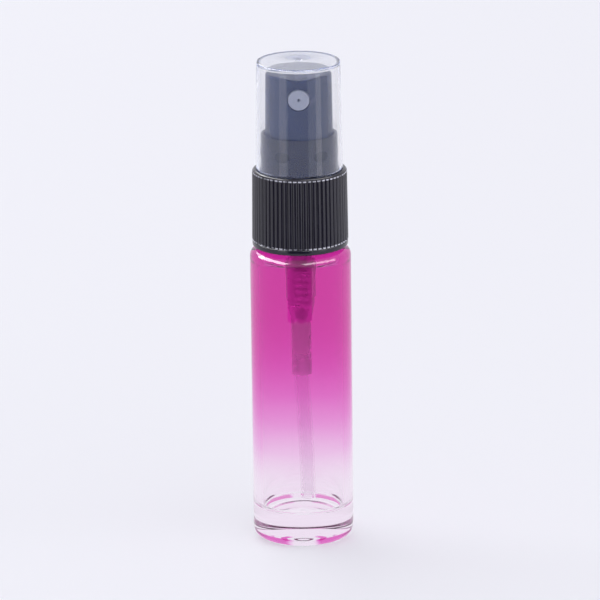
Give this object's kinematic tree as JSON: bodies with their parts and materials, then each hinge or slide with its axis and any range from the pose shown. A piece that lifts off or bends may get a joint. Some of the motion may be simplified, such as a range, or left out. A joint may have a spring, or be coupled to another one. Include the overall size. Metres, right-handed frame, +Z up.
{
  "type": "perfume spray vial",
  "caption": "Slim glass perfume vial with a ribbed screw collar, a working fine-mist pump and a clear pull-off overcap.",
  "frame": {"origin": "centre of the bottle's base, on the surface it stands on", "axes": "+Z up the bottle's axis, the nozzle sprays towards -Y, +X to the right as seen from the nozzle's side"},
  "size_m": [0.02, 0.02, 0.0975],
  "materials": {
    "bottle_glass": "clear glass with a magenta lacquer outside that fades to nothing at the base",
    "collar_plastic": "black moulded polypropylene, satin",
    "actuator_plastic": "black moulded polypropylene, semi-gloss",
    "nozzle_plastic": "pale grey moulded acetal with fine turning rings",
    "clear_plastic": "clear, slightly milky polypropylene",
    "natural_plastic": "natural translucent polypropylene",
    "white_plastic": "white moulded plastic",
    "tube_plastic": "clear extruded polyethylene",
    "gasket_rubber": "soft grey gasket",
    "seal_rubber": "black nitrile",
    "spring_steel": "bright stainless wire"
  },
  "bodies": {
    "bottle": {"glass_bottle": "bottle_glass"},
    "sprayer": {"pump_housing": "natural_plastic", "neck_gasket": "gasket_rubber", "chaplet": "white_plastic", "stem_seal": "seal_rubber", "dip_tube": "tube_plastic", "return_spring": "spring_steel"},
    "closure": {"closure_collar": "collar_plastic"},
    "cap": {"overcap": "clear_plastic"},
    "stem_group": {"stem": "white_plastic", "valve_pin": "white_plastic", "precompression_spring": "spring_steel"},
    "button": {"actuator": "actuator_plastic", "nozzle_insert": "nozzle_plastic"},
    "piston_group": {"piston": "natural_plastic"},
    "ball": {"check_ball": "spring_steel"}
  },
  "joints": [
    {"name": "closure_rise", "type": "slide", "parent": "bottle", "child": "sprayer", "axis": [0, 0, 1], "range_m": [0, 0.0042]},
    {"name": "closure_unscrew", "type": "hinge", "parent": "sprayer", "child": "closure", "pos_m": [0, 0, 0.066], "axis": [0, 0, 1], "range_deg": [0, 721]},
    {"name": "overcap_pull", "type": "slide", "parent": "closure", "child": "cap", "axis": [0, 0, 1], "range_m": [0, 0.025]},
    {"name": "actuator_press", "type": "slide", "parent": "sprayer", "child": "stem_group", "axis": [0, 0, -1], "range_m": [0, 0.0042], "stiffness_N_per_m": 800, "springref_m": -0.004, "deforming": ["return_spring"]},
    {"name": "actuator_swivel", "type": "hinge", "parent": "stem_group", "child": "button", "pos_m": [0, 0, 0.085], "axis": [0, 0, 1], "continuous": true},
    {"name": "piston_lift", "type": "slide", "parent": "stem_group", "child": "piston_group", "axis": [0, 0, 1], "range_m": [0, 0.0005], "stiffness_N_per_m": 1200, "springref_m": -0.003, "deforming": ["precompression_spring"]},
    {"name": "ball_lift", "type": "slide", "parent": "sprayer", "child": "ball", "axis": [0, 0, 1], "range_m": [0, 0.0008]}
  ],
  "couplings": [
    {"joint": "closure_unscrew", "follows": "closure_rise", "rad_per_m": 2992}
  ]
}
